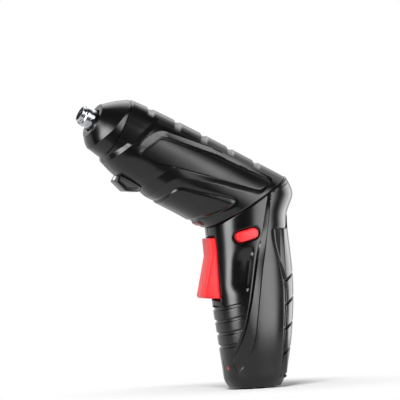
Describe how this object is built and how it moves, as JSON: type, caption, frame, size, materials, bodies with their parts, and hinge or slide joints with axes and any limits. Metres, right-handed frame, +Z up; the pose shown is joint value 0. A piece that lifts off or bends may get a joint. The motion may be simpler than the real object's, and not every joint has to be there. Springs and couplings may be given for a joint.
{
  "type": "electric screwdriver",
  "caption": "Cordless pistol screwdriver with a swivelling head, hexagon bit chuck, planetary gearbox, trigger, direction button and work light.",
  "frame": {"origin": "on the base plane under the handle's axis", "axes": "+Z up the handle, -X towards the trigger and the chuck, -Y towards the tool's left side"},
  "size_m": [0.1228, 0.0454, 0.163],
  "materials": {
    "black_plastic": "moulded, satin",
    "panel_plastic": "moulded, satin",
    "grip_rubber": "moulded, matt",
    "red_plastic": "moulded, semi-gloss",
    "bright_chrome": "turned and plated",
    "machine_steel": "bright",
    "gear_nylon": "moulded",
    "bronze": "sintered",
    "cell_wrap": "shrink wrapped",
    "contact_nickel": "nickel plated",
    "circuit_board": "lacquered",
    "switch_plastic": "moulded",
    "lead_insulation": "smooth",
    "clear_lens": "clear",
    "charge_light": "translucent",
    "led_body": "clear",
    "ferrite": "sintered",
    "core_iron": "laminated",
    "copper_wire": "enamelled"
  },
  "bodies": {
    "handle": {"handle_shell_left": "black_plastic", "handle_shell_right": "black_plastic", "rear_grip": "grip_rubber", "front_grip": "grip_rubber", "handle_screws": "machine_steel", "battery_cell": "cell_wrap", "battery_contacts": "contact_nickel", "charge_board": "circuit_board", "charge_port": "contact_nickel", "charge_light_pipe": "charge_light", "base_foot": "black_plastic", "trigger_pin": "machine_steel", "trigger_spring": "machine_steel", "trigger_switch": "switch_plastic", "direction_switch": "switch_plastic", "handle_leads": "lead_insulation", "detent_ball": "machine_steel", "detent_spring": "machine_steel"},
    "head": {"head_shell_left": "black_plastic", "head_shell_right": "black_plastic", "side_panel_left": "panel_plastic", "side_panel_right": "panel_plastic", "nose_cap": "black_plastic", "head_screws": "machine_steel", "lamp_housing": "black_plastic", "lamp_lens": "clear_lens", "lamp_led": "led_body", "lock_spring": "machine_steel", "swivel_hub": "machine_steel", "swivel_clip": "machine_steel", "head_leads": "lead_insulation", "motor_can": "machine_steel", "motor_end_cap": "switch_plastic", "motor_magnets": "ferrite", "motor_plate": "machine_steel", "ring_gear": "gear_nylon", "gearbox_cover": "machine_steel", "spindle_bush": "bronze"},
    "trigger": {"trigger": "red_plastic"},
    "switch_plunger": {"switch_plunger": "switch_plastic"},
    "direction_button": {"direction_button": "red_plastic"},
    "lock_button": {"lock_button": "red_plastic"},
    "rotor": {"motor_shaft": "machine_steel", "armature_core": "core_iron", "armature_coils": "copper_wire"},
    "first_carrier": {"first_carrier": "machine_steel"},
    "spindle": {"output_carrier": "machine_steel", "spindle": "bright_chrome", "bit_magnet": "ferrite", "lock_ball": "machine_steel", "snap_ring": "machine_steel", "sleeve_spring": "machine_steel"},
    "chuck_sleeve": {"chuck_sleeve": "bright_chrome"},
    "first_planet_1": {"first_planet_1": "gear_nylon"},
    "first_planet_2": {"first_planet_2": "gear_nylon"},
    "first_planet_3": {"first_planet_3": "gear_nylon"},
    "second_planet_1": {"second_planet_1": "gear_nylon"},
    "second_planet_2": {"second_planet_2": "gear_nylon"},
    "second_planet_3": {"second_planet_3": "gear_nylon"}
  },
  "joints": [
    {"name": "head_swivel", "type": "hinge", "parent": "handle", "child": "head", "pos_m": [0, 0, 0.103], "axis": [-0.5, 0, 0.866], "range_deg": [0, 180]},
    {"name": "trigger_pull", "type": "hinge", "parent": "handle", "child": "trigger", "pos_m": [-0.01726, 0, 0.0818], "axis": [0, -1, 0], "range_deg": [0, 6], "stiffness_Nm_per_rad": 0.6, "springref_deg": -4.58, "deforming": ["trigger_spring"]},
    {"name": "plunger_push", "type": "slide", "parent": "handle", "child": "switch_plunger", "axis": [1, 0, 0], "range_m": [0, 0.0024]},
    {"name": "direction_push", "type": "slide", "parent": "handle", "child": "direction_button", "axis": [0, 1, 0], "range_m": [-0.0015, 0.0015]},
    {"name": "lock_press", "type": "slide", "parent": "head", "child": "lock_button", "axis": [0.5, 0, 0.866], "range_m": [0, 0.0015], "stiffness_N_per_m": 400, "springref_m": -0.001, "deforming": ["lock_spring"]},
    {"name": "motor_spin", "type": "hinge", "parent": "head", "child": "rotor", "pos_m": [0, 0, 0.103], "axis": [-0.866, 0, 0.5], "continuous": true},
    {"name": "first_carrier_spin", "type": "hinge", "parent": "head", "child": "first_carrier", "pos_m": [0, 0, 0.103], "axis": [-0.866, 0, 0.5], "continuous": true},
    {"name": "spindle_spin", "type": "hinge", "parent": "head", "child": "spindle", "pos_m": [0, 0, 0.103], "axis": [-0.866, 0, 0.5], "continuous": true},
    {"name": "sleeve_pull", "type": "slide", "parent": "spindle", "child": "chuck_sleeve", "axis": [0.866, 0, -0.5], "range_m": [0, 0.0024], "stiffness_N_per_m": 500, "springref_m": -0.0015, "deforming": ["sleeve_spring"]},
    {"name": "first_planet_1_spin", "type": "hinge", "parent": "first_carrier", "child": "first_planet_1", "pos_m": [-0.05932, 0, 0.12755], "axis": [-0.866, 0, 0.5], "continuous": true},
    {"name": "first_planet_2_spin", "type": "hinge", "parent": "first_carrier", "child": "first_planet_2", "pos_m": [-0.05302, -0.00728, 0.13846], "axis": [-0.866, 0, 0.5], "continuous": true},
    {"name": "first_planet_3_spin", "type": "hinge", "parent": "first_carrier", "child": "first_planet_3", "pos_m": [-0.05302, 0.00728, 0.13846], "axis": [-0.866, 0, 0.5], "continuous": true},
    {"name": "second_planet_1_spin", "type": "hinge", "parent": "spindle", "child": "second_planet_1", "pos_m": [-0.06694, 0, 0.13195], "axis": [-0.866, 0, 0.5], "continuous": true},
    {"name": "second_planet_2_spin", "type": "hinge", "parent": "spindle", "child": "second_planet_2", "pos_m": [-0.06064, -0.00728, 0.14286], "axis": [-0.866, 0, 0.5], "continuous": true},
    {"name": "second_planet_3_spin", "type": "hinge", "parent": "spindle", "child": "second_planet_3", "pos_m": [-0.06064, 0.00728, 0.14286], "axis": [-0.866, 0, 0.5], "continuous": true}
  ],
  "couplings": [
    {"joint": "plunger_push", "follows": "trigger_pull", "m_per_rad": 0.0228},
    {"joint": "first_carrier_spin", "follows": "motor_spin", "ratio": 0.1875},
    {"joint": "spindle_spin", "follows": "motor_spin", "ratio": 0.035156},
    {"joint": "first_planet_1_spin", "follows": "motor_spin", "ratio": -0.4875},
    {"joint": "first_planet_2_spin", "follows": "motor_spin", "ratio": -0.4875},
    {"joint": "first_planet_3_spin", "follows": "motor_spin", "ratio": -0.4875},
    {"joint": "second_planet_1_spin", "follows": "motor_spin", "ratio": -0.091406},
    {"joint": "second_planet_2_spin", "follows": "motor_spin", "ratio": -0.091406},
    {"joint": "second_planet_3_spin", "follows": "motor_spin", "ratio": -0.091406}
  ]
}
